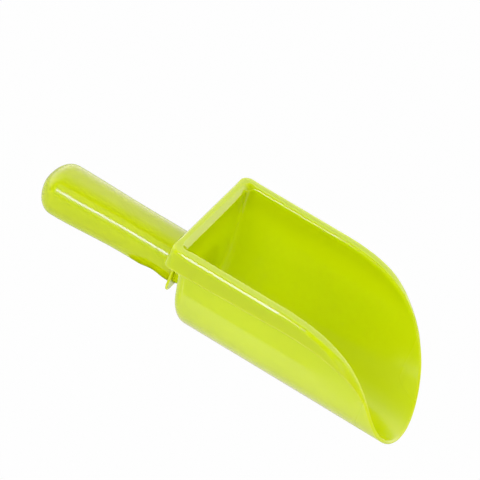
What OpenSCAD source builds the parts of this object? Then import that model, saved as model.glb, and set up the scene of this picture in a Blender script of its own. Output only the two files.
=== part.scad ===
// Sand scoop: a round-bottomed bowl with a turned-down rim and a push-on grip.
// X runs from the heel of the grip to the digging tip, Z is up, millimetres.

/* [Bowl] */
// Width over the rim
scoop_w = 86; // [76:1:100]
// Height from the foot to the top of the rim
scoop_h = 61.2; // [54:0.2:70]
// Length from the back of the rim to the digging tip
scoop_len = 139.8; // [125:0.2:165]
// Length of the rim that runs straight before the nose curves down
straight_len = 63; // [50:1:78]
// Thickness of the bowl's wall
wall = 2; // [1.6:0.1:2.8]
// Lean of the side walls, in degrees
side_draft = 8.2; // [5:0.1:10]
// Lean of the back wall, in degrees
back_draft = 6.9; // [3:0.1:8]
// Outer radius where the back meets the sides and the keel
back_r = 5.8; // [4:0.2:9]
// Depth by which the round keel is flattened into a foot
foot_depth = 0.5; // [0.3:0.1:0.8]

/* [Rim] */
// Overhang of the rim beyond the wall
rim_over = 4; // [3.5:0.1:6]
// Thickness of the rim's flat land
rim_t = 3; // [2:0.1:4]
// Height of the turned-down skirt, land included
rim_drop = 9.4; // [7:0.1:13]
// Thickness of the skirt
skirt_t = 2; // [1.4:0.1:2.6]
// Width of the narrow facet along the rim's outer top edge
rim_facet = 1; // [0.6:0.1:1.4]
// Turn from the flat land down to that facet, in degrees
facet_turn = 60; // [45:1:70]
// Rounding above and below that facet
rim_edge_r = 0.9; // [0.5:0.1:1.2]
// Rounding of the rim's inner top edge along the sides
rim_inner_r = 0.8; // [0.5:0.1:1.2]
// Size of the bevel inside the back of the rim
back_bevel = 2.7; // [1.5:0.1:3]
// Radius of the rim's back corners, seen from above
rim_corner_r = 5.6; // [4:0.1:8]
// Height of the rounded digging lip, where the rim has faded out
lip_h = 1.4; // [1:0.1:1.8]

/* [Handle] */
// Height of the handle's axis above the foot
axis_z = 25.5; // [22:0.5:32]
// Radius of the neck at its waist
neck_r = 11.6; // [10.6:0.1:13]
// How far the neck flares at both ends
neck_flare = 1.2; // [0.6:0.1:2]
// Gap between the guard plate and the plane of the rim's back
guard_gap = 0.8; // [0.4:0.1:4]
// Width of the guard plate
guard_w = 30; // [28:1:38]
// Height of the guard plate
guard_h = 28; // [27:1:36]
// Thickness of the guard plate
guard_t = 1.4; // [1:0.1:2.4]
// Corner radius of the guard plate
guard_r = 6; // [3:0.5:9]

/* [Grip] */
// Length of the grip behind the guard plate
grip_len = 84; // [70:1:110]
// Width of the grip at its front
grip_w = 27; // [24:0.5:28]
// Height of the grip at its front
grip_h = 25.4; // [24:0.2:26.4]
// Depth of the hollow for the forefinger
finger_depth = 1.4; // [0.6:0.1:2]
// Distance from the guard plate to the middle of that hollow
finger_at = 11.3; // [9:0.1:16]
// Length of that hollow
finger_len = 17; // [12:0.5:18]
// Extra thickness under the heel of the grip
heel_swell = 2.2; // [1:0.1:3]
// Length over which the heel of the grip rounds off
heel_round = 11; // [8:0.5:14]

/* [Tang] */
// Radius of the tang inside the grip
tang_r = 9.6; // [8:0.1:9.8]
// Thickness of the hollow tang's wall
tang_wall = 2; // [1.6:0.1:3]
// Length of the tang inside the grip
tang_len = 38; // [34:1:46]
// Clearance round the tang
tang_gap = 0.1; // [0.05:0.01:0.2]
// Height of the snap ring on the tang
snap_h = 0.6; // [0.4:0.1:0.8]
// Width of the snap ring
snap_w = 2.4; // [1.6:0.1:3]
// Distance from the guard plate to the snap ring
snap_at = 29; // [24:0.5:30]
// Thickness of the grip's closed end
heel_wall = 3.5; // [3:0.5:6]

/* [Hidden] */
lime = "#bcd41c";
$fn = 96;

// Counts of the lofted faces
nose_steps = 34;
corner_steps = 7;
bead_steps = 4;
edge_steps = 3;
fillet_steps = 4;
grip_sides = 40;
grip_steps = 30;
heel_steps = 9;
// Turn of the heel's rounding at which a small flat closes it
heel_end = 80;

// The nose in side view: shares that place its two inner control points
nose_reach_share = 0.68;
nose_lean_share = 0.297;
nose_lift_share = 0.53;

// Shares of the scoop's height between which the rim fades into the lip
land_fade_shares = [0.5, 0.9];
over_fade_shares = [0.4, 0.95];
drop_end_share = 0.54;
drop_power = 1.3;
// Shares of the lip's height: depth of its outer face, and the steps that spread over it
lip_drop_share = 0.75;
spread_share = 0.03;
// Most of the rim's width and of its land that its inner edge takes, and of its depth its outer edge
inner_width_share = 0.5;
inner_land_share = 0.9;
edge_share = 0.5;
// Powers of sine and cosine: 1 gives a round inner edge, 2 a straight bevel
round_power = 1;
bevel_power = 1.7;

// The grip's section is a superellipse
grip_power = 2.3;
// Shares of its length between which the heel swells, and the swell's share at the sides
heel_shares = [0.35, 0.85];
heel_side_share = 0.5;
// Share of its radius to which the grip's hollow narrows inside the rounded heel
core_end_share = 0.7;

// One overrun serves all cuts
over_cut = 1;

// Bowl section: straight leaning walls, tangent to a round keel
wall_y = scoop_w / 2 - rim_over;
seat_z = scoop_h - rim_t;
seat_y = wall_y - rim_t * tan(side_draft);
rim_reach = scoop_w / 2 - seat_y;
keel_r = (wall_y - (scoop_h + foot_depth) * tan(side_draft))
    / (1 / cos(side_draft) - tan(side_draft));
keel_z = keel_r - foot_depth;
wall_turn = 90 - side_draft;
tangent_z = keel_z - keel_r * sin(side_draft);

// The rim's outer edge as [inwards, down] from its sharp corner: an arc, the facet and an arc
edge_w = rim_edge_r + rim_facet * cos(facet_turn);
edge_h = rim_edge_r + rim_facet * sin(facet_turn);
rim_edge = concat(
    [for (k = [0 : edge_steps]) let (a = (90 - facet_turn) * k / edge_steps)
        [rim_edge_r * (1 - cos(a)), edge_h - rim_edge_r * sin(a)]],
    [for (k = [0 : edge_steps]) let (a = 90 - facet_turn + facet_turn * k / edge_steps)
        [edge_w - rim_edge_r * cos(a), rim_edge_r * (1 - sin(a))]]
);

// Handle stations along X, with the back of the rim at zero
guard_front = -guard_gap;
guard_back = guard_front - guard_t;
heel_x = guard_back - grip_len;
mid_x = (scoop_len + heel_x) / 2;

function smooth(u) = let (v = min(1, max(0, u))) v * v * (3 - 2 * v);
function fade(share, ends) = smooth((share - ends[0]) / (ends[1] - ends[0]));
function hump(u) = abs(u) < 1 ? (1 + cos(180 * u)) / 2 : 0;
function mix(a, b, u) = a + (b - a) * u;

// Nose in side view, as [x, z]: a cubic curve from the straight rim to the tip
nose = [
    [straight_len, scoop_h],
    [mix(straight_len, scoop_len, nose_reach_share), scoop_h],
    [scoop_len - nose_lean_share * scoop_h, nose_lift_share * scoop_h],
    [scoop_len, -foot_depth]
];
function nose_at(t) = pow(1 - t, 3) * nose[0] + 3 * pow(1 - t, 2) * t * nose[1]
    + 3 * (1 - t) * t * t * nose[2] + t * t * t * nose[3];
function nose_slope(t) = pow(1 - t, 2) * (nose[1] - nose[0]) + 2 * (1 - t) * t * (nose[2] - nose[1])
    + t * t * (nose[3] - nose[2]);

// Place on the section: 0 at the rim's seat, 1 where the wall turns, 2 on the keel line
function turn_at(z) = acos(min(1, (keel_z - z) / keel_r));
function place_of(z) = z >= tangent_z ? (seat_z - z) / (seat_z - tangent_z) : 2 - turn_at(z) / wall_turn;

// Half section as [y, z], set in by a depth from the outer face
function seat_pt(depth) = [seat_y - depth / cos(side_draft), seat_z];
function keel_pt(turn, depth) = [0, keel_z] + (keel_r - depth) * [sin(turn), -cos(turn)];
function section_at(place, depth) = place <= 1
    ? mix(seat_pt(depth), keel_pt(wall_turn, depth), place)
    : keel_pt((2 - place) * wall_turn, depth);

// Rim sizes at a share of the scoop's height
function land_at(share) = mix(lip_h, rim_t, fade(share, land_fade_shares));
function over_at(share) = rim_reach * fade(share, over_fade_shares);
function drop_at(share) = max(lip_drop_share * lip_h,
    rim_drop * pow(max(0, (share - drop_end_share) / (1 - drop_end_share)), drop_power));

// Stations round the nose: [edge x, place on the section, share of height, up in x, up in z]
function nose_station(i) = let (
    u = i / nose_steps,
    t = u * (2 - u),
    top = nose_at(t),
    slope = nose_slope(t),
    lean = top.y >= tangent_z ? 1 : sin(turn_at(top.y)) / sin(wall_turn),
    run = [slope.x * lean, -slope.y] / norm([slope.x * lean, -slope.y]),
    share = top.y / scoop_h,
    land = land_at(share)
) [top.x - land * run.y, place_of(top.y - land * run.x * lean), share, run.y, run.x];
stations = [for (i = [0 : nose_steps]) nose_station(i)];

// Point of a skin: line across the section, row from the nose edge to the back wall
lines = 2 * nose_steps;
rows = corner_steps + 1;
function back_x(z) = rim_over + (scoop_h - z) * tan(back_draft);
function skin_pt(line, row, depth) = let (
    s = stations[line <= nose_steps ? line : lines - line],
    side = line <= nose_steps ? -1 : 1,
    turn = 90 * max(0, row - 1) / corner_steps,
    r = back_r - depth,
    p = section_at(s[1], depth + (row == 0 ? 0 : r * (1 - cos(turn)))),
    x = row == 0 ? s[0] : back_x(p.y) + depth + r * (1 - sin(turn))
) [x, side * p.x, max(0, p.y)];

// Two triangles between four points of a grid, clockwise from outside
function quad(a, b, c, d) = [[a, b, c], [a, c, d]];
function flat(lists) = [for (l = lists) for (e = l) e];

module bowl() {
    across = rows + 1;
    count = across * (lines + 1);
    points = [for (depth = [0, wall]) for (l = [0 : lines]) for (r = [0 : rows]) skin_pt(l, r, depth)];
    outer = function(l, r) l * across + r;
    inner = function(l, r) count + l * across + r;
    faces = flat(concat(
        [for (l = [0 : lines - 1]) for (r = [0 : rows - 1])
            quad(outer(l, r), outer(l + 1, r), outer(l + 1, r + 1), outer(l, r + 1))],
        [for (l = [0 : lines - 1]) for (r = [0 : rows - 1])
            quad(inner(l, r), inner(l, r + 1), inner(l + 1, r + 1), inner(l + 1, r))],
        [for (l = [0 : lines - 1]) quad(outer(l, 0), inner(l, 0), inner(l + 1, 0), outer(l + 1, 0))],
        [for (r = [0 : rows - 1]) quad(outer(0, r), outer(0, r + 1), inner(0, r + 1), inner(0, r))],
        [for (r = [0 : rows - 1])
            quad(outer(lines, r), inner(lines, r), inner(lines, r + 1), outer(lines, r + 1))],
        [quad(outer(0, rows), outer(lines, rows), inner(lines, rows), inner(0, rows))],
        [[[for (l = [0 : lines]) outer(l, rows)]], [[for (l = [lines : -1 : 0]) inner(l, rows)]]]
    ));
    color(lime) polyhedron(points, faces, convexity = 6);
}

// Rim stations: inner edge, outer edge and skirt in plan, the way up, share of height, turn to the back
function rim_nose(i, side) = let (
    s = stations[i],
    line = side < 0 ? i : lines - i,
    turn = s[1] <= 1 ? 90 : 90 * (2 - s[1]),
    seat = skin_pt(line, 0, 0)
) [skin_pt(line, 0, wall), seat, seat + over_at(s[2]) * [0, side * sin(turn), -cos(turn)],
    [s[3], side * s[4] * cos(turn), s[4] * sin(turn)], s[2], 0];
function rim_corner(row, side) = let (
    line = side < 0 ? 0 : lines,
    turn = 90 * (row - 1) / corner_steps,
    skirt_y = scoop_w / 2 - rim_corner_r * (1 - cos(turn)),
    skirt = [rim_corner_r * (1 - sin(turn)), side * skirt_y, seat_z]
) [skin_pt(line, row, wall), skin_pt(line, row, 0), skirt, [0, 0, 1], 1, smooth(turn / 90)];
rim_path = concat(
    [for (i = [nose_steps : -1 : 0]) rim_nose(i, -1)],
    [for (row = [1 : rows]) rim_corner(row, -1)],
    [for (row = [rows : -1 : 1]) rim_corner(row, 1)],
    [for (i = [0 : nose_steps - 1]) rim_nose(i, 1)]
);

// Section of the rim at a station: seat, channel, skirt's bead, outer edge, land and inner edge.
// Round the nose the skirt draws in, and its points spread up the outer face of the lip.
function rim_section(s) = let (
    in_pt = s[0],
    seat = s[1],
    skirt = s[2],
    up = s[3],
    land = land_at(s[4]),
    drop = drop_at(s[4]),
    thick = norm(seat - in_pt),
    over = norm(skirt - seat),
    width = thick + over,
    inside = width - skirt_t * over / rim_reach,
    half = (width - inside) / 2,
    bead = min(half, max(0, drop - land) / 2),
    spread = spread_share * land * max(0, 1 - over / rim_reach),
    edge = min(1, edge_share * drop / edge_h),
    inner = min(mix(rim_inner_r, back_bevel, s[5]), inner_land_share * land, inner_width_share * width),
    power = mix(round_power, bevel_power, s[5]),
    at = function(d, h) h * up
        + (d <= thick ? mix(in_pt, seat, d / thick) : mix(seat, skirt, (d - thick) / over))
) concat(
    [at(0, 0), at(thick, 0), at(inside, max(0, land - drop) + spread)],
    [for (k = [0 : bead_steps]) let (b = 180 * k / bead_steps)
        at(inside + half * (1 - cos(b)), land - drop + bead * (1 - sin(b)) + spread * (k + 2))],
    [for (e = rim_edge) at(width - edge * e.x, land - edge * e.y)],
    [for (k = [0 : fillet_steps]) let (b = 90 * k / fillet_steps)
        at(inner * (1 - pow(sin(b), power)), land - inner * (1 - pow(cos(b), power)))]
);

module rim() {
    rings = [for (s = rim_path) rim_section(s)];
    size = len(rings[0]);
    count = len(rings);
    at = function(i, k) (i % count) * size + k % size;
    faces = flat([for (i = [0 : count - 1]) for (k = [0 : size - 1])
        quad(at(i, k), at(i + 1, k), at(i + 1, k + 1), at(i, k + 1))]);
    color(lime) polyhedron(flat(rings), faces, convexity = 8);
}

// Turns a profile drawn as [radius, distance behind the guard plate] about the handle's axis
module about_axis() {
    translate([guard_back, 0, axis_z]) rotate([0, -90, 0]) rotate_extrude() children();
}

// The neck's waist is a ring-shaped cut; neck and tang are hollow, and the tang carries a snap ring
tang_core_r = tang_r - tang_wall;
neck_reach = guard_t + guard_gap + back_x(axis_z - neck_r - neck_flare);
neck_span = neck_reach - guard_t;
waist_r = (neck_span * neck_span / 4 + neck_flare * neck_flare) / (2 * neck_flare);
module neck_profile() {
    difference() {
        translate([tang_core_r, -neck_reach]) square([neck_r + neck_flare - tang_core_r, neck_span]);
        translate([neck_r + waist_r, -guard_t - neck_span / 2]) circle(waist_r);
    }
    translate([tang_core_r, -neck_reach]) square([tang_wall, tang_len + neck_reach]);
    translate([tang_core_r, snap_at]) polygon([
        [0, -snap_w / 2], [tang_wall, -snap_w / 2], [tang_wall + snap_h, 0],
        [tang_wall, snap_w / 2], [0, snap_w / 2]
    ]);
}

// Everything in front of the bowl's back wall, outer face
module ahead_of_back_wall() {
    translate([back_x(0), 0, 0]) rotate([0, -back_draft, 0])
        translate([0, -scoop_w / 2, -scoop_h]) cube([scoop_len, scoop_w, 3 * scoop_h]);
}

module neck() {
    color(lime) difference() {
        about_axis() neck_profile();
        ahead_of_back_wall();
    }
}

module guard_plate() {
    color(lime) translate([guard_front, 0, axis_z]) rotate([0, -90, 0])
        linear_extrude(guard_t) difference() {
            union() {
                square([guard_h, guard_w - 2 * guard_r], center = true);
                square([guard_h - 2 * guard_r, guard_w], center = true);
                for (up = [-1, 1]) for (side = [-1, 1])
                    translate([up * (guard_h / 2 - guard_r), side * (guard_w / 2 - guard_r)])
                        circle(guard_r);
            }
            circle(tang_r + tang_gap);
        }
}

// Grip section at a distance behind the guard plate
function heel_at(d) = heel_swell * fade(d / grip_len, heel_shares);
function grip_low(d) = grip_h / 2 - finger_depth * hump((d - finger_at) / (finger_len / 2)) + heel_at(d);
function grip_side(d) = grip_w / 2 + heel_side_share * heel_at(d);
function heel_scale(d) = d <= grip_len - heel_round ? 1
    : sqrt(1 - pow((d - grip_len + heel_round) * sin(heel_end) / heel_round, 2));
function power_of(v) = sign(v) * pow(abs(v), 2 / grip_power);
function grip_ring(d) = [for (k = [0 : grip_sides - 1]) let (
    a = 360 * k / grip_sides,
    lift = power_of(sin(a)) * (sin(a) < 0 ? grip_low(d) : grip_h / 2),
    sink = heel_at(d) / 2 * (1 - heel_scale(d)),
    out = power_of(cos(a)) * grip_side(d)
) [guard_back - d, out * heel_scale(d), axis_z + lift * heel_scale(d) - sink]];
grip_stations = concat(
    [for (i = [0 : grip_steps - 1]) (grip_len - heel_round) * i / grip_steps],
    [for (i = [0 : heel_steps])
        grip_len - heel_round * (1 - sin(heel_end * i / heel_steps) / sin(heel_end))]
);

module grip_outside() {
    rings = [for (d = grip_stations) grip_ring(d)];
    last = len(rings) - 1;
    at = function(i, k) i * grip_sides + k % grip_sides;
    polyhedron(flat(rings), concat(
        flat([for (i = [0 : last - 1]) for (k = [0 : grip_sides - 1])
            quad(at(i, k), at(i, k + 1), at(i + 1, k + 1), at(i + 1, k))]),
        [[for (k = [grip_sides - 1 : -1 : 0]) at(0, k)], [for (k = [0 : grip_sides - 1]) at(last, k)]]
    ), convexity = 4);
}

// The core that leaves the grip hollow: a socket for the tang with a groove for its snap ring, and a taper
module grip_core() {
    bore_r = tang_r + tang_gap;
    groove_w = snap_w + 2 * tang_gap;
    polygon([
        [0, -over_cut], [bore_r, -over_cut], [bore_r, grip_len - heel_round],
        [core_end_share * bore_r, grip_len - heel_wall], [0, grip_len - heel_wall]
    ]);
    translate([0, snap_at]) polygon([
        [0, -groove_w / 2], [bore_r, -groove_w / 2], [bore_r + snap_h, 0],
        [bore_r, groove_w / 2], [0, groove_w / 2]
    ]);
}

module grip() {
    color(lime) difference() {
        grip_outside();
        about_axis() grip_core();
    }
}

translate([-mid_x, 0, 0]) {
    bowl();
    rim();
    neck();
    guard_plate();
    grip();
}
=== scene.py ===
# %% [markdown]
# # A moulded sand scoop
# The scoop is a beach toy of lime green polypropylene: a round-bottomed bowl with a turned-down rim, and a
# straight handle behind it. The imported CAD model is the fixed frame. Every surface below is worked out
# again in numpy from the same formulas, only finer, so that light runs over it as over a polished mould.

# %% Load the frame
import math

import bpy
import numpy as np
from mathutils import Matrix, Vector


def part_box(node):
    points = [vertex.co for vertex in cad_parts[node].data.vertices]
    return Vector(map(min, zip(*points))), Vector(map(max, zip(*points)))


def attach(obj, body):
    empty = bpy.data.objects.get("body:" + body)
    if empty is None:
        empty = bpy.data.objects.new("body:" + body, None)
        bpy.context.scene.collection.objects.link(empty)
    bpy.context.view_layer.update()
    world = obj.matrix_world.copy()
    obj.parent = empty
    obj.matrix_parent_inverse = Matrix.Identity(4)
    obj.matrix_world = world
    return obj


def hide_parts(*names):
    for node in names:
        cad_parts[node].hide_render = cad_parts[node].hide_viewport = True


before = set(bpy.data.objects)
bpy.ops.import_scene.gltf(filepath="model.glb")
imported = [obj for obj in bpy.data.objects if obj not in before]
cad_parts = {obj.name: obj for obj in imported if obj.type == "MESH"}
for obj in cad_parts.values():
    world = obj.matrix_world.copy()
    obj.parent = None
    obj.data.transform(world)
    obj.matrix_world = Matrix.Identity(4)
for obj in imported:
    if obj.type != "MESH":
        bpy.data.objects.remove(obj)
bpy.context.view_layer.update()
print("nodes:", sorted(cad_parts))

# %% [markdown]
# ## Sizes
# What the frame can tell is read from its boxes: how long, wide and high the pieces are. The rest, such as
# wall thickness and radii, is named here in metres, as the mould maker would give them.

# %% Sizes from the frame
rim_low, rim_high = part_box("rim")
_, bowl_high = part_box("bowl")
neck_low, neck_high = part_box("neck")
plate_low, plate_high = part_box("guard_plate")
grip_low, grip_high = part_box("grip")

RIM_BACK = rim_low.x
TIP = rim_high.x
SCOOP_H = rim_high.z
HALF_W = rim_high.y
SEAT_Z = bowl_high.z
SEAT_Y = bowl_high.y
AXIS_Z = (neck_low.z + neck_high.z) / 2
GUARD_FRONT = plate_high.x
GUARD_BACK = plate_low.x
GRIP_LEN = grip_high.x - grip_low.x
print(f"scoop {TIP - RIM_BACK:.4f} x {2 * HALF_W:.4f} x {SCOOP_H:.4f} m, grip {GRIP_LEN:.4f} m")

# %% Sizes of the mould
WALL = 0.002
SIDE_DRAFT = math.radians(8.2)
BACK_DRAFT = math.radians(6.9)
BACK_R = 0.0058
KEEL_BACK_R = 0.0068
FOOT_DEPTH = 0.0005
STRAIGHT_LEN = 0.063
RIM_T = SCOOP_H - SEAT_Z
RIM_OVER = 0.004
RIM_DROP = 0.0094
SKIRT_T = 0.002
RIM_CORNER_R = 0.0050
LIP_H = 0.0014
print(f"wall {WALL:.4f} m, rim {RIM_T:.4f} m thick, skirt {RIM_DROP:.4f} m deep")

# %% [markdown]
# ## The bowl's section and the nose
# Across the bowl each wall is a straight line that leans by its draft and runs tangent into a round keel.
# In side view the open edge follows one cubic curve from the straight rim down to the digging tip. A mesh
# could be pulled into this shape by eye, but formulas give any number of exact points.

# %% Ramps
def mix(a, b, u):
    """Straight blend from a at u = 0 to b at u = 1."""
    return a + (b - a) * u


def smooth(u):
    """S-shaped ramp 3u^2 - 2u^3, held at 0 below 0 and at 1 above 1."""
    v = np.clip(u, 0.0, 1.0)
    return v * v * (3.0 - 2.0 * v)


def fade(share, ends):
    """The same ramp between two shares."""
    return smooth((share - ends[0]) / (ends[1] - ends[0]))


def stack(x, y, z):
    """Three coordinate arrays of any matching shape as one array of points."""
    return np.stack(np.broadcast_arrays(x, y, z), axis=-1)


# %% Section of the bowl
WALL_Y = HALF_W - RIM_OVER
WALL_TURN = math.pi / 2 - SIDE_DRAFT
KEEL_R = (WALL_Y - (SCOOP_H + FOOT_DEPTH) * math.tan(SIDE_DRAFT)) / (
    1 / math.cos(SIDE_DRAFT) - math.tan(SIDE_DRAFT)
)
KEEL_Z = KEEL_R - FOOT_DEPTH
TANGENT_Z = KEEL_Z - KEEL_R * math.sin(SIDE_DRAFT)


def turn_at(z):
    """Angle round the keel, from its lowest line, at which the outer face has height z."""
    return np.arccos(np.clip((KEEL_Z - z) / KEEL_R, -1.0, 1.0))


def place_of(z):
    """Place on the section at height z: 0 at the rim's seat, 1 where the wall turns, 2 on the keel line."""
    return np.where(z >= TANGENT_Z, (SEAT_Z - z) / (SEAT_Z - TANGENT_Z), 2.0 - turn_at(z) / WALL_TURN)


def section(place, depth):
    """Half section (y, z) at a place, set in by a depth from the outer face: a line, then an arc."""
    turn = (2.0 - np.maximum(place, 1.0)) * WALL_TURN
    y = (KEEL_R - depth) * np.sin(turn)
    z = KEEL_Z - (KEEL_R - depth) * np.cos(turn)
    down = np.minimum(place, 1.0)
    return mix(SEAT_Y - depth / math.cos(SIDE_DRAFT), y, down), mix(SEAT_Z, z, down)


print(f"keel radius {KEEL_R:.4f} m, the wall turns at {TANGENT_Z:.4f} m")

# %% [markdown]
# ## How the rim fades
# Along the back and the sides the rim is a flat land with a skirt that hangs outside. Round the nose the
# land thins, the overhang draws in and the skirt shortens, until only a rounded digging lip is left. A
# profile could be drawn for each place, but all three sizes follow the edge's own height, as a share of
# the scoop's height, so three short functions are enough.

# %% Rim sizes by height
LAND_FADE_SHARES = (0.5, 0.9)
OVER_FADE_SHARES = (0.4, 0.95)
DROP_END_SHARE = 0.50
DROP_POWER = 1.2
LIP_DROP_SHARE = 0.75
RIM_REACH = HALF_W - SEAT_Y


def land_at(share):
    """Height of the rim above its seat: the lip's height, rising to the full land."""
    return mix(LIP_H, RIM_T, fade(share, LAND_FADE_SHARES))


def over_at(share):
    """How far the rim stands out from the wall: its full reach times a smooth ramp."""
    return RIM_REACH * fade(share, OVER_FADE_SHARES)


def drop_at(share):
    """Depth of the skirt's lower edge below the top of the rim: a power of the height above its end."""
    rise = np.maximum(0.0, (share - DROP_END_SHARE) / (1.0 - DROP_END_SHARE))
    return np.maximum(LIP_DROP_SHARE * LIP_H, RIM_DROP * rise**DROP_POWER)


print(f"the rim stands out by up to {RIM_REACH:.4f} m")

# %% Stations round the nose
NOSE_REACH_SHARE = 0.68
NOSE_LEAN_SHARE = 0.297
NOSE_LIFT_SHARE = 0.53
NOSE_STEPS = 150


def cubic(p, t):
    """Cubic curve with four control points: (1-t)^3 p0 + 3(1-t)^2 t p1 + 3(1-t) t^2 p2 + t^3 p3."""
    return (1 - t) ** 3 * p[0] + 3 * (1 - t) ** 2 * t * p[1] + 3 * (1 - t) * t**2 * p[2] + t**3 * p[3]


def cubic_run(p, t):
    """Direction of that curve: (1-t)^2 (p1-p0) + 2(1-t) t (p2-p1) + t^2 (p3-p2)."""
    return (1 - t) ** 2 * (p[1] - p[0]) + 2 * (1 - t) * t * (p[2] - p[1]) + t**2 * (p[3] - p[2])


straight_x = RIM_BACK + STRAIGHT_LEN
nose = np.array([
    (straight_x, SCOOP_H),
    (mix(straight_x, TIP, NOSE_REACH_SHARE), SCOOP_H),
    (TIP - NOSE_LEAN_SHARE * SCOOP_H, NOSE_LIFT_SHARE * SCOOP_H),
    (TIP, -FOOT_DEPTH),
])
steps = np.linspace(0.0, 1.0, NOSE_STEPS + 1)
to_tip = (steps * (2.0 - steps))[:, None]
top = cubic(nose, to_tip)
slope = cubic_run(nose, to_tip)
lean = np.where(top[:, 1] >= TANGENT_Z, 1.0, np.sin(turn_at(top[:, 1])) / math.sin(WALL_TURN))
run = np.stack([slope[:, 0] * lean, -slope[:, 1]], axis=1)
run /= np.linalg.norm(run, axis=1, keepdims=True)

share = top[:, 1] / SCOOP_H
edge_x = top[:, 0] - land_at(share) * run[:, 1]
place = place_of(top[:, 1] - land_at(share) * run[:, 0] * lean)
print(f"{len(share)} stations from x {edge_x[0]:.4f} to {edge_x[-1]:.4f} m")

# %% [markdown]
# ## Putting a grid into a mesh
# Each piece is a closed surface: a grid of points, wrapped round one way or both, with any caps given as
# faces of their own. One function makes the object, shades it smooth but keeps true corners sharp, and
# counts open edges.

# %% Mesh helper
SHARP_ANGLE = math.radians(38)


def numbers(points, start=0):
    """Point numbers of a grid of points, counted row by row."""
    return start + np.arange(points.shape[0] * points.shape[1]).reshape(points.shape[:2])


def quads(number, wrap_rows=False, wrap_columns=False):
    """Faces between neighbours in a grid of point numbers, as a list."""
    if wrap_rows:
        number = np.vstack([number, number[:1]])
    if wrap_columns:
        number = np.hstack([number, number[:, :1]])
    corners = number[:-1, :-1], number[:-1, 1:], number[1:, 1:], number[1:, :-1]
    return np.stack([c.ravel() for c in corners], axis=1).tolist()


def make_piece(name, points, faces, slot, *nodes):
    """Makes one smooth-shaded object at the origin, which rides on the root and stands for CAD nodes."""
    mesh = bpy.data.meshes.new(name)
    mesh.from_pydata(points.reshape(-1, 3).tolist(), [], faces)
    mesh.polygons.foreach_set("use_smooth", np.ones(len(mesh.polygons), dtype=bool))
    mesh.set_sharp_from_angle(angle=SHARP_ANGLE)
    piece = bpy.data.objects.new(name, mesh)
    bpy.context.scene.collection.objects.link(piece)
    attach(piece, "root")
    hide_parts(*nodes)
    edge_of_loop = np.empty(len(mesh.loops), dtype=np.int32)
    mesh.loops.foreach_get("edge_index", edge_of_loop)
    open_edges = int((np.bincount(edge_of_loop, minlength=len(mesh.edges)) != 2).sum())
    print(f"{name}: {len(mesh.polygons)} faces, {open_edges} open edges")
    return piece


# %% [markdown]
# ## The bowl
# The real bowl is one thin wall. Its section is carried straight along X from the nose edge to the back,
# where inside and outside turn through a fillet into the flat, leaning back wall. So a line of the grid has
# one place on the section, and a row is a step along it. Solidify could thicken a single sheet, but a
# second skin, set in by the wall's depth, keeps both fillets true. The edge is left open for the rim.

# %% Bowl skins
STRAIGHT_STEPS = 16
LAST_STEP_SHARE = 0.997
FILLET_STEPS = 12
BACK_SUPPORT = 0.0004

straight_shares = np.append(np.linspace(0.0, 1.0, STRAIGHT_STEPS + 1)[:-1], [LAST_STEP_SHARE, 1.0])
both_places = np.concatenate([place, place[-2::-1]])[:, None]
both_edges = np.concatenate([edge_x, edge_x[-2::-1]])[:, None]
both_sides = np.where(np.arange(2 * NOSE_STEPS + 1) <= NOSE_STEPS, -1.0, 1.0)[:, None]


def back_x(z):
    """Where the outer face of the leaning back wall is at height z: a straight line by its draft."""
    return RIM_BACK + RIM_OVER + (SCOOP_H - z) * math.tan(BACK_DRAFT)


def skin(depth):
    """One face of the wall as (lines, rows) points: straight rows, the back fillet, and a row on the back."""
    radius = mix(BACK_R, KEEL_BACK_R, smooth(both_places - 1.0)) - depth
    turns = np.linspace(0.0, math.pi / 2, FILLET_STEPS + 1)[1:]
    insets = np.hstack([radius * (1.0 - np.cos(turns)), radius + BACK_SUPPORT])
    ahead = np.hstack([radius * (1.0 - np.sin(turns)), 0.0 * radius])
    y, z = section(both_places, depth)
    x = mix(both_edges, back_x(z) + depth + radius, straight_shares)
    y_back, z_back = section(both_places, depth + insets)
    x_back = back_x(z_back) + depth + ahead
    straight = stack(x, both_sides * y, np.maximum(z, 0.0))
    return np.concatenate([straight, stack(x_back, both_sides * y_back, np.maximum(z_back, 0.0))], axis=1)


outer_skin = skin(0.0)
inner_skin = skin(WALL)
lines, rows = outer_skin.shape[:2]
print(f"each skin has {lines} lines of {rows} points")

# %% [markdown]
# ## The rim
# The rim is one profile carried all the way round the open edge. Bowl and rim leave the mould as one skin,
# and light seeps from one into the other. As two pieces they would show a dark seam, so here they are one
# closed surface that stands for both CAD nodes. Each station gives the inner and outer corner of the wall,
# the foot of the skirt and the way up. The profile is written in two distances, d outwards from the wall's
# inner face and h up from its seat, so it bends and fades with the edge. Towards the back the skirt hangs
# deeper, and round the back corner it flares a little.

# %% Rim stations
corner_turns = np.linspace(0.0, math.pi / 2, FILLET_STEPS + 1)
side_turns = np.concatenate([np.zeros(len(straight_shares) - 2), corner_turns, [math.pi / 2]])


def nose_side(side, points_in, points_out):
    """Stations of one side from the straight rim to the tip.

    They are the wall's inner and outer corner, the skirt, the way up, the share of the height, the tilt of
    the inner face and the turn to the back."""
    turn = np.where(place <= 1.0, 1.0, 2.0 - place) * math.pi / 2
    outwards = stack(0.0 * turn, side * np.sin(turn), -np.cos(turn))
    up = stack(run[:, 1], side * run[:, 0] * np.cos(turn), run[:, 0] * np.sin(turn))
    tilt = run[:, 0] * np.tan(SIDE_DRAFT * np.minimum(1.0, 2.0 - place))
    skirt = points_out + over_at(share)[:, None] * outwards
    return points_in, points_out, skirt, up, share, tilt, 0.0 * share


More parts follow.
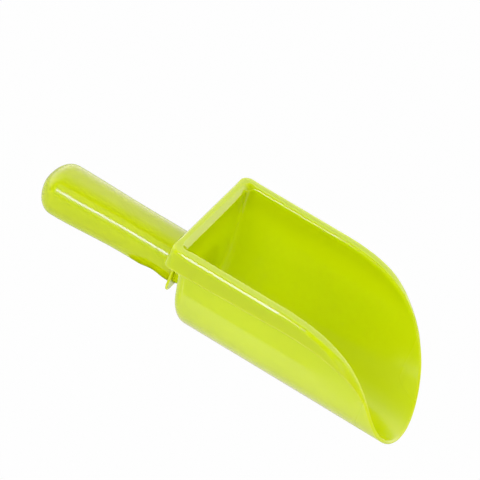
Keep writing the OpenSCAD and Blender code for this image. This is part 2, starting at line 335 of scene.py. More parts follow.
def straight_side(side, points_in, points_out):
    """The same for one side from the straight rim through the back corner, an arc, to the back."""
    full = np.ones(len(side_turns))
    turned = side_turns / (math.pi / 2)
    skirt_x = RIM_BACK + RIM_CORNER_R * (1.0 - np.sin(side_turns))
    skirt_x = np.where(side_turns == 0.0, points_out[:, 0], skirt_x)
    skirt_y = side * (HALF_W - RIM_CORNER_R * (1.0 - np.cos(side_turns)))
    skirt_y[-1] = points_out[-1, 1]
    tilt = np.tan(mix(SIDE_DRAFT, BACK_DRAFT, turned))
    up = stack(0.0 * full, 0.0 * full, full)
    return points_in, points_out, stack(skirt_x, skirt_y, SEAT_Z), up, full, tilt, smooth(2 * turned)


def round_edge(skin):
    """Points or numbers of a skin in the order of the stations: near nose, near side, far side, far nose."""
    return skin[NOSE_STEPS::-1, 0], skin[0, 1:], skin[-1, 1:], skin[:NOSE_STEPS - 1:-1, 0]


edges_in, edges_out = round_edge(inner_skin), round_edge(outer_skin)
near = nose_side(-1.0, edges_in[0][::-1], edges_out[0][::-1])
near_side = straight_side(-1.0, edges_in[1], edges_out[1])
far_side = straight_side(1.0, edges_in[2], edges_out[2])
far = nose_side(1.0, edges_in[3], edges_out[3])
stations = [
    np.concatenate([a[::-1], b, c[::-1], d[:-1]])
    for a, b, c, d in zip(near, near_side, far_side, far)
]
print(f"the rim has {len(stations[0])} stations")

# %% Skirt at each station
SKIRT_DEEPER = 0.0032
DEEPER_FROM_X = 0.062
SPREAD_SHARE = 0.03

point_in, point_out, point_skirt, up, rim_share, *ramps = stations
tilt, to_back = (ramp[:, None] for ramp in ramps)
land = land_at(rim_share)[:, None]
deeper = np.clip((DEEPER_FROM_X - point_skirt[:, :1]) / (DEEPER_FROM_X - RIM_BACK), 0.0, 1.0)
drop = drop_at(rim_share)[:, None] + SKIRT_DEEPER * deeper
thick = np.linalg.norm(point_out - point_in, axis=1)[:, None]
over = np.linalg.norm(point_skirt - point_out, axis=1)[:, None]
width = thick + over
skirt = SKIRT_T * over / RIM_REACH
bead = np.minimum(skirt / 2, np.maximum(0.0, drop - land) / 2)
# Where the skirt has faded, its points would fall together, so a trace of height spreads them.
spread = SPREAD_SHARE * land * np.maximum(0.0, 1.0 - over / RIM_REACH)
print(f"rim {width.min():.4f} to {width.max():.4f} m wide, skirt up to {drop.max():.4f} m deep")

# %% Edges at each station
FACET = 0.001
FACET_TURN = math.radians(60)
EDGE_R = 0.0009
EDGE_SHARE = 0.5
INNER_W = 0.00055
INNER_H = 0.0011
INNER_WIDTH_SHARE = 0.5
INNER_LAND_SHARE = 0.9
BACK_BEVEL = 0.0027
ROUND_SHARES = (0.74, 0.97)
ROUND_WIDTH_SHARE = 0.9
ROUND_DROP_SHARE = 0.7

edge_w = EDGE_R + FACET * math.cos(FACET_TURN)
edge_h = EDGE_R + FACET * math.sin(FACET_TURN)
edge = np.minimum(1.0, EDGE_SHARE * drop / edge_h)
inner_w = np.minimum(mix(INNER_W, BACK_BEVEL, to_back), INNER_WIDTH_SHARE * width)
inner_h = np.minimum(mix(INNER_H, BACK_BEVEL, to_back), INNER_LAND_SHARE * land)
rounding = 1.0 - fade(rim_share, ROUND_SHARES)[:, None]
edge_in = mix(edge, ROUND_WIDTH_SHARE * (width - inner_w) / edge_w, rounding)
edge_down = mix(edge, ROUND_DROP_SHARE * drop / edge_h, rounding)
print(f"outer edge {edge_w:.4f} m wide, bevel at the back {inner_w.max():.4f} m")

# %% Rim profile
BEAD_STEPS = 8
SPREADS = (2.0, 6.0)
SKIRT_FLARE = 0.0006
EDGE_STEPS = 5
INNER_STEPS = 12
INNER_POWERS = (1.6, 1.8)
LAND_CROWN = 0.00008
ACROSS = np.array([0.04, 0.25, 0.5, 0.75, 0.96])


def outer_edge():
    """(d, h) over the outer edge: an arc, the flat facet and a second arc, one large round by the nose."""
    low = np.linspace(0.0, math.pi / 2 - FACET_TURN, EDGE_STEPS + 1)
    high = np.linspace(math.pi / 2 - FACET_TURN, math.pi / 2, 2 * EDGE_STEPS + 1)
    inwards = np.append(EDGE_R * (1.0 - np.cos(low)), edge_w - EDGE_R * np.cos(high))
    down = np.append(edge_h - EDGE_R * np.sin(low), EDGE_R * (1.0 - np.sin(high)))
    return width - edge_in * inwards, land - edge_down * down


def inner_edge():
    """(d, h) from the land to the wall: round at power 1, almost a straight bevel near power 2."""
    turn = np.linspace(0.0, math.pi / 2, INNER_STEPS + 1)
    power = mix(*INNER_POWERS, to_back)
    outwards = inner_w * (1.0 - np.sin(turn) ** power)
    down = inner_h * (1.0 - np.cos(turn).clip(0.0) ** power)
    return tilt * (land - down) + outwards, land - down


def rim_profile():
    """Profile (d, h) over the wall: channel, skirt with a half-round bead, outer edge, land, inner edge.

    The land is crowned by a parabola, 4a(1 - a) at a share a of its width."""
    channel_d = width - skirt
    channel_h = np.maximum(0.0, land - drop) + spread
    turn = np.linspace(0.0, math.pi, BEAD_STEPS + 1)
    bead_d = width + SKIRT_FLARE * to_back - skirt / 2 * (1.0 + np.cos(turn))
    bead_h = land - drop + bead * (1.0 - np.sin(turn)) + spread * mix(*SPREADS, turn / math.pi)
    outer_d, outer_h = outer_edge()
    bevel_d, bevel_h = inner_edge()
    land_d = mix(outer_d[:, -1:], bevel_d[:, :1], ACROSS)
    crown = LAND_CROWN * fade(rim_share, LAND_FADE_SHARES)[:, None]
    land_h = land + crown * 4 * ACROSS * (1 - ACROSS)
    return (np.hstack([channel_d, bead_d, outer_d, land_d, bevel_d]),
            np.hstack([channel_h, bead_h, outer_h, land_h, bevel_h]))


profile_d, profile_h = rim_profile()
print(f"the rim's profile has {profile_d.shape[1]} points")

# %% Bowl and rim piece
TINY = 1e-9

through_wall = (point_out - point_in) / thick
past_wall = (point_skirt - point_out) / np.maximum(over, TINY)
rim_points = (
    point_in[:, None]
    + np.minimum(profile_d, thick)[..., None] * through_wall[:, None]
    + np.maximum(profile_d - thick, 0.0)[..., None] * past_wall[:, None]
    + profile_h[..., None] * up[:, None]
)
outer = numbers(outer_skin)
inner = numbers(inner_skin, outer.size)
open_out, open_in = (
    np.concatenate([a, b, c[::-1], d[:-1]]) for a, b, c, d in (round_edge(outer), round_edge(inner))
)
rim_numbers = np.column_stack([open_out, numbers(rim_points, 2 * outer.size), open_in])
scoop_faces = quads(outer) + quads(inner[:, ::-1]) + quads(rim_numbers, wrap_rows=True)
scoop_faces += [outer[::-1, -1].tolist(), inner[:, -1].tolist()]
scoop_points = np.concatenate([a.reshape(-1, 3) for a in (outer_skin, inner_skin, rim_points)])
scoop = make_piece("bowl_with_rim", scoop_points, scoop_faces, "scoop_plastic", "bowl", "rim")

# %% [markdown]
# ## The neck
# Behind the bowl come a waisted neck with its tang, a thin guard plate, and the grip, which is pushed over
# the tang. The neck could be turned with the Screw modifier, but its front has to lie on the leaning back
# wall. So it is a grid of rings about the handle's axis, in which each point of a ring has its own X.

# %% Rings about the handle's axis
RING_STEPS = 112
ring_turn = np.linspace(0.0, 2 * math.pi, RING_STEPS, endpoint=False)


def close_rings(points):
    """Faces of a tube of rings whose first and last ring are each closed by one face."""
    number = numbers(points)
    return quads(number, wrap_columns=True) + [number[0, ::-1].tolist(), number[-1].tolist()]


print(f"each ring has {RING_STEPS} points")

# %% Neck
NECK_R = 0.0122
NECK_FLARE = 0.0008
NECK_ROOT_R = 0.0015
NECK_STEPS = 30
NECK_START_SHARE = 0.06
TANG_R = 0.0096
TANG_WALL = 0.002
SNAP_H = 0.0006
SNAP_W = 0.0024
SNAP_AT = 0.029
SHOULDER_R = 0.0005


def neck_radius(x):
    """Waist of the neck: a circle's arc that is NECK_FLARE deep between its two ends."""
    span = neck_high.x - GUARD_FRONT
    waist = (span**2 / 4 + NECK_FLARE**2) / (2 * NECK_FLARE)
    return NECK_R + waist - np.sqrt(waist**2 - (x - GUARD_FRONT - span / 2) ** 2)


def neck_points():
    """Rings from the bore's front back to the tang's end, out over the tang and along the neck."""
    snap_x = GUARD_BACK - SNAP_AT
    tang_end = neck_low.x
    shoulder = neck_radius(GUARD_FRONT)
    bore = TANG_R - TANG_WALL
    turned = np.array([
        (tang_end, bore),
        (tang_end, TANG_R - SHOULDER_R),
        (tang_end + SHOULDER_R, TANG_R),
        (snap_x - SNAP_W / 2, TANG_R),
        (snap_x, TANG_R + SNAP_H),
        (snap_x + SNAP_W / 2, TANG_R),
        (GUARD_FRONT, TANG_R),
        (GUARD_FRONT, shoulder - SHOULDER_R),
        (GUARD_FRONT + SHOULDER_R, shoulder),
    ])
    x, radius = np.broadcast_to(turned.T[..., None], (2, len(turned), RING_STEPS))
    along = np.linspace(NECK_START_SHARE, 1.0, NECK_STEPS)[:, None]
    bore_x = back_x(AXIS_Z + bore * np.sin(ring_turn))[None]
    wall_x = back_x(AXIS_Z + (NECK_R + NECK_FLARE) * np.sin(ring_turn))
    neck_x = mix(GUARD_FRONT + SHOULDER_R, wall_x, along)
    to_root = np.clip(1.0 - (wall_x - neck_x) / NECK_ROOT_R, 0.0, 1.0)
    root = NECK_ROOT_R * (1.0 - np.sqrt(1.0 - to_root**2))
    x = np.concatenate([bore_x, x, neck_x])
    radius = np.concatenate([0.0 * bore_x + bore, radius, neck_radius(neck_x) + root])
    return stack(x, radius * np.cos(ring_turn), AXIS_Z + radius * np.sin(ring_turn))


neck_rings = neck_points()
neck_faces = quads(numbers(neck_rings), wrap_rows=True, wrap_columns=True)
neck = make_piece("neck_and_tang", neck_rings, neck_faces, "handle_plastic", "neck")

# %% [markdown]
# ## The guard plate
# A thin plate with round corners is threaded on the tang and held between the neck's shoulder and the grip.
# A bevelled cube with a Boolean hole would do, but it leaves long thin faces. Here loops run from the hole's
# back edge out over the rounded rim of the plate and back to the hole's front edge.

# %% Guard plate
PLATE_R = 0.006
PLATE_EDGE_R = 0.00055
PLATE_EDGE_STEPS = 5
PLATE_SUPPORT_SHARE = 2.0
TANG_GAP = 0.0001
HOLE_R = TANG_R + TANG_GAP


def rounded_outline(half_h, half_w, radius):
    """Rounded rectangle (y, z), one point for each turn: a square's path with its corners made arcs."""
    quarter = RING_STEPS // 4
    arcs = np.linspace(0.0, math.pi / 2, quarter)[None] + np.arange(4)[:, None] * math.pi / 2
    corner = np.arange(4)[:, None] * math.pi / 2 + math.pi / 4
    y = np.sign(np.cos(corner)) * (half_w - radius) + radius * np.cos(arcs)
    z = np.sign(np.sin(corner)) * (half_h - radius) + radius * np.sin(arcs)
    return y.ravel(), z.ravel()


def plate_points():
    """Loops of the plate, set in from its outline by an arc at the back edge and by one at the front edge."""
    half_h = (plate_high.z - plate_low.z) / 2
    half_w = (plate_high.y - plate_low.y) / 2
    arc = np.linspace(0.0, math.pi / 2, PLATE_EDGE_STEPS + 1)
    support = [PLATE_SUPPORT_SHARE]
    insets = PLATE_EDGE_R * np.concatenate([support, 1 - np.sin(arc), 1 - np.sin(arc[::-1]), support])
    depths = PLATE_EDGE_R * np.concatenate([[0.0], 1 - np.cos(arc), 1 - np.cos(arc[::-1]), [0.0]])
    from_back = np.arange(len(insets)) < len(insets) / 2
    x = np.where(from_back, GUARD_BACK + depths, GUARD_FRONT - depths)
    loops = [rounded_outline(half_h - i, half_w - i, PLATE_R - i) for i in insets]
    y, z = (np.array([loop[k] for loop in loops]) for k in (0, 1))
    hole_y, hole_z = HOLE_R * np.cos(ring_turn), HOLE_R * np.sin(ring_turn)
    x = np.concatenate([[GUARD_BACK], x, [GUARD_FRONT]])[:, None]
    return stack(x, np.vstack([hole_y, y, hole_y]), AXIS_Z + np.vstack([hole_z, z, hole_z]))


plate_loops = plate_points()
plate_faces = quads(numbers(plate_loops), wrap_rows=True, wrap_columns=True)
plate = make_piece("guard_plate_round", plate_loops, plate_faces, "handle_plastic", "guard_plate")

# %% [markdown]
# ## The grip
# The grip is a hollow sleeve, closed at the heel, fuller towards it and with one hollow below, next to the
# guard plate. A cylinder could be sculpted, but superellipses, which lie between a circle and a square, give
# its section with one number. The rings run from the heel over the outside, round the mouth and back down
# the socket, so inside and outside are one skin.

# %% Grip
GRIP_W = 0.027
GRIP_H = 0.0254
GRIP_POWER = 2.3
HOLLOW_DEPTH = 0.0014
HOLLOW_AT = 0.0113
HOLLOW_LEN = 0.017
HEEL_SWELL = 0.0022
HEEL_SHARES = (0.35, 0.85)
HEEL_SIDE_SHARE = 0.5


def grip_ring(distance, scale):
    """Superellipse ring (y, z) at a distance behind the guard plate, with the hollow and the heel below."""
    distance, scale = np.reshape(distance, (-1, 1)), np.reshape(scale, (-1, 1))
    swell = HEEL_SWELL * fade(distance / GRIP_LEN, HEEL_SHARES)
    near_hollow = np.clip((distance - HOLLOW_AT) / (HOLLOW_LEN / 2), -1.0, 1.0)
    low = GRIP_H / 2 - HOLLOW_DEPTH * (1.0 + np.cos(math.pi * near_hollow)) / 2 + swell
    cos, sin = np.cos(ring_turn), np.sin(ring_turn)
    y = np.sign(cos) * np.abs(cos) ** (2 / GRIP_POWER) * (GRIP_W / 2 + HEEL_SIDE_SHARE * swell)
    z = np.sign(sin) * np.abs(sin) ** (2 / GRIP_POWER) * np.where(sin < 0, low, GRIP_H / 2)
    return y * scale, AXIS_Z + z * scale - swell / 2 * (1.0 - scale)


# %% Grip piece
HEEL_ROUND = 0.011
HEEL_TURN = math.radians(88)
HEEL_STEPS = 22
HEEL_WALL = 0.0035
BODY_STEPS = 80
MOUTH_R = 0.0007
MOUTH_STEPS = 5
CORE_END_SHARE = 0.7


def grip_points():
    """Rings over a quarter round at the heel, the body, a small round at the mouth, then the socket."""
    turn = np.linspace(HEEL_TURN, 0.0, HEEL_STEPS)
    heel = GRIP_LEN - HEEL_ROUND * (1.0 - np.sin(turn))
    body = np.linspace(GRIP_LEN - HEEL_ROUND, MOUTH_R, BODY_STEPS)[1:]
    mouth = np.linspace(0.0, math.pi / 2, MOUTH_STEPS + 1)[1:]
    distance = np.concatenate([heel, body, MOUTH_R * (1.0 - np.sin(mouth))])
    mouth_scale = 1.0 - MOUTH_R / (GRIP_H / 2) * (1.0 - np.cos(mouth))
    y, z = grip_ring(distance, np.concatenate([np.cos(turn), np.ones(len(body)), mouth_scale]))
    snap = np.array([SNAP_AT - SNAP_W / 2, SNAP_AT, SNAP_AT + SNAP_W / 2])
    socket = np.concatenate([[0.0], snap, [GRIP_LEN - HEEL_ROUND, GRIP_LEN - HEEL_WALL]])
    socket_r = HOLE_R + SNAP_H * (socket == SNAP_AT)
    socket_r[-1] *= CORE_END_SHARE
    x = GUARD_BACK - np.concatenate([distance, socket])[:, None]
    y = np.vstack([y, socket_r[:, None] * np.cos(ring_turn)])
    z = np.vstack([z, AXIS_Z + socket_r[:, None] * np.sin(ring_turn)])
    return stack(x, y, z)


grip_rings = grip_points()
grip = make_piece("grip_sleeve", grip_rings, close_rings(grip_rings), "handle_plastic", "grip")

# %% [markdown]
# ## Moulded polypropylene
# The whole scoop is injection-moulded polypropylene, coloured right through. A polished mould leaves a glossy
# skin with a trace of orange peel, the melt leaves faint clouds of colour where it flowed, and light seeps
# some millimetres into the plastic. Sand has dulled the digging lip, its keel a little less. A painted
# texture could hold all this, but nothing is printed on the scoop, so noise and ramps on Object coordinates
# are enough. One function with two sets of numbers makes the material of the scoop and of the handle. The
# handle is the same lime, but its greens are set a little darker as painted shade, against light that the
# lamp on the neck sends into the grip.

# %% Colours and nodes
def linear(hex_colour):
    """sRGB hex to linear RGBA: each channel c becomes c/12.92 or ((c + 0.055)/1.055)^2.4."""
    c = np.array([int(hex_colour[i:i + 2], 16) for i in (1, 3, 5)]) / 255.0
    return (*np.where(c <= 0.04045, c / 12.92, ((c + 0.055) / 1.055) ** 2.4), 1.0)


def empty_tree(owner):
    """Node tree of a new material or world, with nothing in it."""
    owner.use_nodes = True
    owner.node_tree.nodes.clear()
    return owner.node_tree


def add(tree, kind, values=None, links=None, **settings):
    """Adds a node, sets its own settings, the values of its inputs and the links into them."""
    node = tree.nodes.new(kind)
    for name, value in settings.items():
        setattr(node, name, value)
    for name, value in (values or {}).items():
        node.inputs[name].default_value = value
    for name, socket in (links or {}).items():
        tree.links.new(socket, node.inputs[name])
    return node


# %% Wear of the lip
WEAR_LEN = 0.06
WEAR_DULL = 0.32
WEAR_Z = (0.005, 0.014)
KEEL_WEAR_SHARE = 0.7


def worn_lip(tree, place_on, shine):
    """Roughness: the gloss, plus wear that rises smoothly to the tip, times a smaller share on the keel."""
    part = add(tree, "ShaderNodeSeparateXYZ", None, {"Vector": place_on}).outputs
    near_tip = add(
        tree, "ShaderNodeMapRange", {"From Min": TIP - WEAR_LEN, "From Max": TIP, "To Max": WEAR_DULL},
        {"Value": part["X"]}, interpolation_type="SMOOTHSTEP",
    )
    off_keel = add(
        tree, "ShaderNodeMapRange",
        {"From Min": WEAR_Z[0], "From Max": WEAR_Z[1], "To Min": KEEL_WEAR_SHARE},
        {"Value": part["Z"]}, interpolation_type="SMOOTHSTEP",
    )
    dull = add(
        tree, "ShaderNodeMath", None,
        {0: near_tip.outputs["Result"], 1: off_keel.outputs["Result"], 2: shine},
        operation="MULTIPLY_ADD",
    )
    return dull.outputs[0]


# %% Polypropylene
FLOW_SIZE = 0.045
FLOW_DETAIL = 2.0
FLOW_SPAN = (0.3, 0.7)
PEEL_SIZE = 0.0016
PEEL_DETAIL = 1.0
PEEL_HEIGHT = 0.0000004
POLYPROPYLENE_IOR = 1.49
GLOW_DEPTH = 0.0075
GLOW_SHARES = (1.0, 1.0, 0.3)
SCOOP_GREENS = ("#c0d203", "#c5d705")
SCOOP_GLOSS = (0.02, 0.045)
# Painted shade: the handle is the scoop's lime set a little darker, against light that the lamp on the neck
# sends into the grip.
HANDLE_GREENS_PAINTED_DARKER = ("#bccb04", "#c1cf07")
HANDLE_GLOSS = (0.045, 0.075)


def moulded_polypropylene(name, greens, gloss):
    """Lime polypropylene: colour clouds as wide as the flow marks, and orange peel.

    Real orange peel is finer than a pixel, so it is drawn 1.6 mm wide to show."""
    material = bpy.data.materials.new(name)
    tree = empty_tree(material)
    place_on = add(tree, "ShaderNodeTexCoord").outputs["Object"]
    flow = add(
        tree, "ShaderNodeTexNoise", {"Scale": 1 / FLOW_SIZE, "Detail": FLOW_DETAIL}, {"Vector": place_on}
    )
    colour = add(tree, "ShaderNodeValToRGB", None, {"Fac": flow.outputs["Fac"]})
    for stop, green in zip(colour.color_ramp.elements, greens):
        stop.color = linear(green)
    shine = add(
        tree, "ShaderNodeMapRange",
        {"From Min": FLOW_SPAN[0], "From Max": FLOW_SPAN[1], "To Min": gloss[0], "To Max": gloss[1]},
        {"Value": flow.outputs["Fac"]},
    )
    peel = add(
        tree, "ShaderNodeTexNoise", {"Scale": 1 / PEEL_SIZE, "Detail": PEEL_DETAIL}, {"Vector": place_on}
    )
    bump = add(tree, "ShaderNodeBump", {"Distance": PEEL_HEIGHT}, {"Height": peel.outputs["Fac"]})
    surface = add(
        tree, "ShaderNodeBsdfPrincipled",
        {"IOR": POLYPROPYLENE_IOR, "Subsurface Weight": 1.0, "Subsurface Scale": GLOW_DEPTH,
         "Subsurface Radius": GLOW_SHARES},
        {"Base Color": colour.outputs["Color"], "Normal": bump.outputs["Normal"],
         "Roughness": worn_lip(tree, place_on, shine.outputs["Result"])},
    )
    add(tree, "ShaderNodeOutputMaterial", None, {"Surface": surface.outputs["BSDF"]})
    return material


scoop_plastic = moulded_polypropylene("moulded polypropylene, scoop", SCOOP_GREENS, SCOOP_GLOSS)
# The handle's material carries the darker greens, which are painted shade.
handle_plastic = moulded_polypropylene("moulded polypropylene, handle, painted shade", HANDLE_GREENS_PAINTED_DARKER, HANDLE_GLOSS)
scoop.data.materials.append(scoop_plastic)
for piece in (neck, plate, grip):
    piece.data.materials.append(handle_plastic)
print("materials:", scoop_plastic.name, "and", handle_plastic.name)

# %% [markdown]
# ## The floor
# The picture is a bright product shot, white all round, with the scoop well above the floor. A floor under
# more light would turn white too, but the plastic would wash out. So Light Path nodes pick the rays: the
# floor glows white for the camera, a little dimmer where the scoop mirrors it, and for the light itself it
# is plain paint, which still takes a soft shadow.

# %% Floor
FLOOR_Z = -0.35
FLOOR_HALF = 4.0
FLOOR_PAINT = "#dcdcdc"
FLOOR_LIFT = 0.97
FLOOR_DIM = -0.2
WHITE = "#ffffff"


def plane(name, x_ends, y_ends, z):
    """Level rectangle of one face, linked to the scene."""
    mesh = bpy.data.meshes.new(name)
    mesh.from_pydata([(x, y, z) for x in x_ends for y in y_ends], [], [[0, 2, 3, 1]])
    sheet = bpy.data.objects.new(name, mesh)
    bpy.context.scene.collection.objects.link(sheet)
    print(f"{name} at {z} m")
    return sheet


def pale_floor():
    """Paint, or almost only a white glow for camera, glossy and transmission rays, dimmer for glossy."""
    material = bpy.data.materials.new("painted white floor")
    tree = empty_tree(material)
    seen = add(tree, "ShaderNodeLightPath").outputs
    shown = seen["Is Camera Ray"]
    for ray in ("Is Glossy Ray", "Is Transmission Ray"):
        shown = add(tree, "ShaderNodeMath", None, {0: shown, 1: seen[ray]}, operation="MAXIMUM").outputs[0]
    lift = add(tree, "ShaderNodeMath", {1: FLOOR_LIFT}, {0: shown}, operation="MULTIPLY").outputs[0]
    level = add(
        tree, "ShaderNodeMath", {1: FLOOR_DIM, 2: 1.0}, {0: seen["Is Glossy Ray"]}, operation="MULTIPLY_ADD"
    )
    paint = add(tree, "ShaderNodeBsdfDiffuse", {"Color": linear(FLOOR_PAINT)}).outputs[0]
    white = add(tree, "ShaderNodeEmission", {"Color": linear(WHITE)}, {"Strength": level.outputs[0]})
    both = add(tree, "ShaderNodeMixShader", None, {0: lift, 1: paint, 2: white.outputs[0]})
    add(tree, "ShaderNodeOutputMaterial", None, {"Surface": both.outputs[0]})
    return material


floor = plane("floor", (-FLOOR_HALF, FLOOR_HALF), (-FLOOR_HALF, FLOOR_HALF), FLOOR_Z)
floor.data.materials.append(pale_floor())

# %% [markdown]
# ## A card to mirror
# Polished plastic shows what stands round it. In a studio a white card under the object lifts its lower
# wall, and so it does here. A lamp could do it, but a card can fade across its width. It is only mirrored
# and lights nothing, so that colours stay as they are written. What the scoop mirrors is tinted a little,
# because a highlight on lime plastic is creamy in the picture.

# %% Card below
CARD_X = (-0.085, 0.20)
CARD_Y = (-0.143, 0.10)
CARD_Z = -0.12
CARD_BRIGHT = 1.75
CARD_DIM = 0.85
CARD_FADE_Y = -0.03
MIRROR_TINT = "#f3e3ff"


def lit_card():
    """White card that is brightest along its front edge: the level falls along Y in a straight line."""
    material = bpy.data.materials.new("white card")
    tree = empty_tree(material)
    place_on = add(tree, "ShaderNodeTexCoord").outputs["Object"]
    across = add(tree, "ShaderNodeSeparateXYZ", None, {"Vector": place_on}).outputs["Y"]
    level = add(
        tree, "ShaderNodeMapRange",
        {"From Min": CARD_Y[0], "From Max": CARD_FADE_Y, "To Min": CARD_BRIGHT, "To Max": CARD_DIM},
        {"Value": across},
    ).outputs["Result"]
    glow = add(tree, "ShaderNodeEmission", {"Color": linear(MIRROR_TINT)}, {"Strength": level})
    add(tree, "ShaderNodeOutputMaterial", None, {"Surface": glow.outputs[0]})
    return material


card = plane("card below", CARD_X, CARD_Y, CARD_Z)
card.data.materials.append(lit_card())
for ray in ("visible_camera", "visible_diffuse", "visible_transmission", "visible_shadow"):
    setattr(card, ray, False)

# %% [markdown]
# ## The studio
# White light comes from all sides, but what the polished skin mirrors is a bright backdrop behind, which
# dims with height, and a dark front. Walls could be built for that, but they would catch light and shadow.
# One world does both: even white for diffuse light, and a ramp by side and height for what is mirrored.

# %% World
WORLD_LEVEL = 0.86
FRONT_LEVEL = 0.2
BACKDROP_LEVEL = 2.6
BACKDROP_EDGE = (-0.2, 0.3)
BACKDROP_TURN = 0.4
# Height of a mirrored direction, from level at 0 to upright at 1, and the share of the level there.
CEILING = (
    (0.0, 0.9), (0.35, 0.95), (0.5, 0.78), (0.6, 0.61),
    (0.7, 0.66), (0.8, 0.66), (0.88, 0.56), (0.97, 0.25),
)


def studio():
    """Even white for diffuse light. Mirrored, it is a level by side times the ceiling's ramp by height."""
    world = bpy.data.worlds.new("white studio")
    tree = empty_tree(world)
    mirrored = add(tree, "ShaderNodeLightPath").outputs["Is Glossy Ray"]
    towards = add(tree, "ShaderNodeTexCoord").outputs["Generated"]
    part = add(tree, "ShaderNodeSeparateXYZ", None, {"Vector": towards}).outputs
    behind = add(
        tree, "ShaderNodeMath", {1: -BACKDROP_TURN}, {0: part["X"], 2: part["Y"]}, operation="MULTIPLY_ADD"
    )
    side = add(
        tree, "ShaderNodeMapRange",
        {"From Min": BACKDROP_EDGE[0], "From Max": BACKDROP_EDGE[1],
         "To Min": FRONT_LEVEL, "To Max": BACKDROP_LEVEL},
        {"Value": behind.outputs[0]},
    ).outputs[0]
    ramp = add(tree, "ShaderNodeValToRGB", None, {"Fac": part["Z"]})
    stops = ramp.color_ramp.elements
    for height, _ in CEILING[1:-1]:
        stops.new(height)
    for stop, (height, level) in zip(stops, CEILING):
        stop.position = height
        stop.color = (level, level, level, 1.0)
    strength = add(
        tree, "ShaderNodeMath", None, {0: ramp.outputs["Color"], 1: side}, operation="MULTIPLY"
    ).outputs[0]
    even = add(tree, "ShaderNodeBackground", {"Color": linear(WHITE), "Strength": WORLD_LEVEL})
    shown = add(tree, "ShaderNodeBackground", {"Color": linear(MIRROR_TINT)}, {"Strength": strength})
    both = add(tree, "ShaderNodeMixShader", None, {0: mirrored, 1: even.outputs[0], 2: shown.outputs[0]})
    add(tree, "ShaderNodeOutputWorld", None, {"Surface": both.outputs[0]})
    return world


bpy.context.scene.world = studio()
print(f"world: {bpy.context.scene.world.name}, {len(CEILING)} steps from level to upright")

# %% [markdown]
# ## Lamps
# One strip light in front draws the thin lines of light along the rim's edge and the grip, and hazes round
# it soften them. Two fills light the front and the inside. One lamp could do both, but light and highlights
# are easier to set apart, so each lamp is hidden either from diffuse rays, and then is only mirrored, or
# from glossy rays, and then only lights. A lamp is given by its radiance, so it looks as bright at any size.

# %% Lamps
ONLY_MIRRORED = "visible_diffuse"
ONLY_LIGHTS = "visible_glossy"
STRIP_TINT = "#b396ff"
GRIP_CARD = (-0.11, 0.05, 0.25)
middle = Vector((0.0, 0.0, SCOOP_H / 2))


def soft_box(name, spot, aim, size, radiance, hidden, tint=WHITE):
    """Area lamp at a spot, facing an aim, hidden from one kind of ray: power is radiance x pi x area."""
    lamp = bpy.data.lights.new(name, "AREA")
    lamp.color = linear(tint)[:3]
    lamp.shape = "RECTANGLE"
    lamp.size, lamp.size_y = size
    lamp.energy = radiance * math.pi * size[0] * size[1]
    holder = bpy.data.objects.new(name, lamp)
    holder.location = spot
    holder.rotation_euler = (Vector(spot) - Vector(aim)).to_track_quat("Z", "Y").to_euler()
    holder.visible_camera = False
    setattr(holder, hidden, False)
    bpy.context.scene.collection.objects.link(holder)
    print(f"{name}: {lamp.energy:.3f} W")
    return holder


# Each lamp's direction from the scoop, distance, size, radiance, kind and tint.
for name, direction, distance, size, radiance, hidden, tint in (
    ("strip in front", (-0.261, -0.899, 0.350), 1.5, (0.41, 0.30), 13.0, ONLY_MIRRORED, STRIP_TINT),
    ("end of the strip", (-0.0364, -0.925, 0.378), 1.5, (0.33, 0.06), 9.0, ONLY_MIRRORED, STRIP_TINT),
    ("haze round the strip", (-0.19, -0.95, 0.24), 1.6, (0.9, 0.75), 0.7, ONLY_MIRRORED, MIRROR_TINT),
    ("haze to the right", (0.72, -0.68, 0.165), 1.5, (0.45, 0.28), 1.1, ONLY_MIRRORED, MIRROR_TINT),
    ("haze at the right", (0.9, 0.0, 0.40), 1.5, (0.9, 0.5), 0.7, ONLY_MIRRORED, MIRROR_TINT),
    ("fill in front", (-0.1, -0.92, 0.36), 1.5, (1.0, 0.8), 2.5, ONLY_LIGHTS, WHITE),
    ("fill above", (0.15, -0.1, 1.0), 1.5, (1.0, 1.0), 0.7, ONLY_LIGHTS, WHITE),
):
    soft_box(name, middle + distance * Vector(direction).normalized(), middle, size, radiance, hidden, tint)
soft_box("card over the grip", GRIP_CARD, (*GRIP_CARD[:2], 0.0), (0.16, 0.18), 0.1, ONLY_MIRRORED)

# %% [markdown]
# ## Lamps for single pieces
# In the real scoop light passes through the plastic from piece to piece, also where neck, plate and wall
# touch. The renderer keeps light that has seeped into one mesh inside it, so such places come out too dark.
# Joining the pieces would mend that, but they are separate pieces. So small lamps without shadow give the
# light back, each to one piece, by light linking. The card is kept from neck and grip in the same way.

# %% Lamps for single pieces
def light_only(source, *pieces):
    """Keeps the light of a lamp, or of a card that glows, to a few pieces."""
    lit = bpy.data.collections.new(source.name)
    for piece in pieces:
        lit.objects.link(piece)
    source.light_linking.receiver_collection = lit


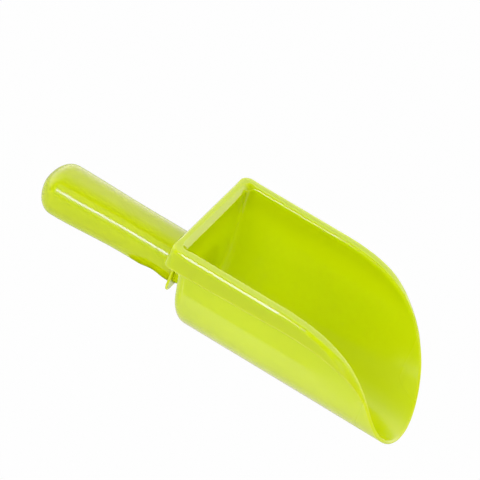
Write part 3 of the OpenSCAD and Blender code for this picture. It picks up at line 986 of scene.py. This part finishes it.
BELOW_AXIS = 0.012
BELOW_SPOT = (0.02, -0.13, 0.0)
BEHIND_WALL_X = -0.035
by_guard = (GUARD_FRONT, 0.0, AXIS_Z - BELOW_AXIS)
behind_wall = (BEHIND_WALL_X, 0.0, AXIS_Z)
on_wall = (0.0, 0.0, AXIS_Z)
in_bowl = (0.03, 0.0, 0.045)
low_back = (-0.012, -0.012, 0.006)

light_only(card, scoop, plate)
light_only(soft_box("haze over the grip", (-0.2, -1.2, 0.8), middle, (1.2, 1.5), 0.7, ONLY_MIRRORED), grip)
for name, spot, aim, width_of_lamp, radiance, piece in (
    ("glow on the neck", BELOW_SPOT, by_guard, 0.08, 5.0, neck),
    ("glow on the guard", BELOW_SPOT, by_guard, 0.08, 1.5, plate),
    ("glow behind the wall", behind_wall, on_wall, 0.03, 1.3, scoop),
    ("glow in the bowl", in_bowl, low_back, 0.03, 1.0, scoop),
):
    glow = soft_box(name, spot, aim, (width_of_lamp, width_of_lamp), radiance, ONLY_LIGHTS)
    glow.data.use_shadow = False
    light_only(glow, piece)

# %% [markdown]
# ## Camera
# The camera stands as in the picture: well back with a long lens, looking down at the near side, and rolled,
# because the scoop points nose down there. The scoop could be turned instead, but it stays in its frame. The
# camera is aimed at the middle of the picture, so it needs no shift.

# %% Camera
AIM = Vector((-0.00645, 0.00458, 0.0515))
AZIMUTH = math.radians(13.423)
ELEVATION = math.radians(36.291)
ROLL = math.radians(22.724)
DISTANCE = 1.50062
LENS = 220.82
SENSOR = 36.0
CLIP = (0.05, 20.0)

camera = bpy.data.cameras.new("camera")
camera.lens = LENS
camera.sensor_width = SENSOR
camera.clip_start, camera.clip_end = CLIP
stand = bpy.data.objects.new("camera", camera)
level = math.cos(ELEVATION)
back = Vector((math.sin(AZIMUTH) * level, -math.cos(AZIMUTH) * level, math.sin(ELEVATION)))
looking = (-back).to_track_quat("-Z", "Y").to_matrix() @ Matrix.Rotation(ROLL, 3, "Z")
stand.matrix_world = Matrix.Translation(AIM + back * DISTANCE) @ looking.to_4x4()
bpy.context.scene.collection.objects.link(stand)
bpy.context.scene.camera = stand
bpy.context.scene.view_settings.view_transform = "Standard"
print(f"camera {DISTANCE:.2f} m away with a {LENS:.0f} mm lens")
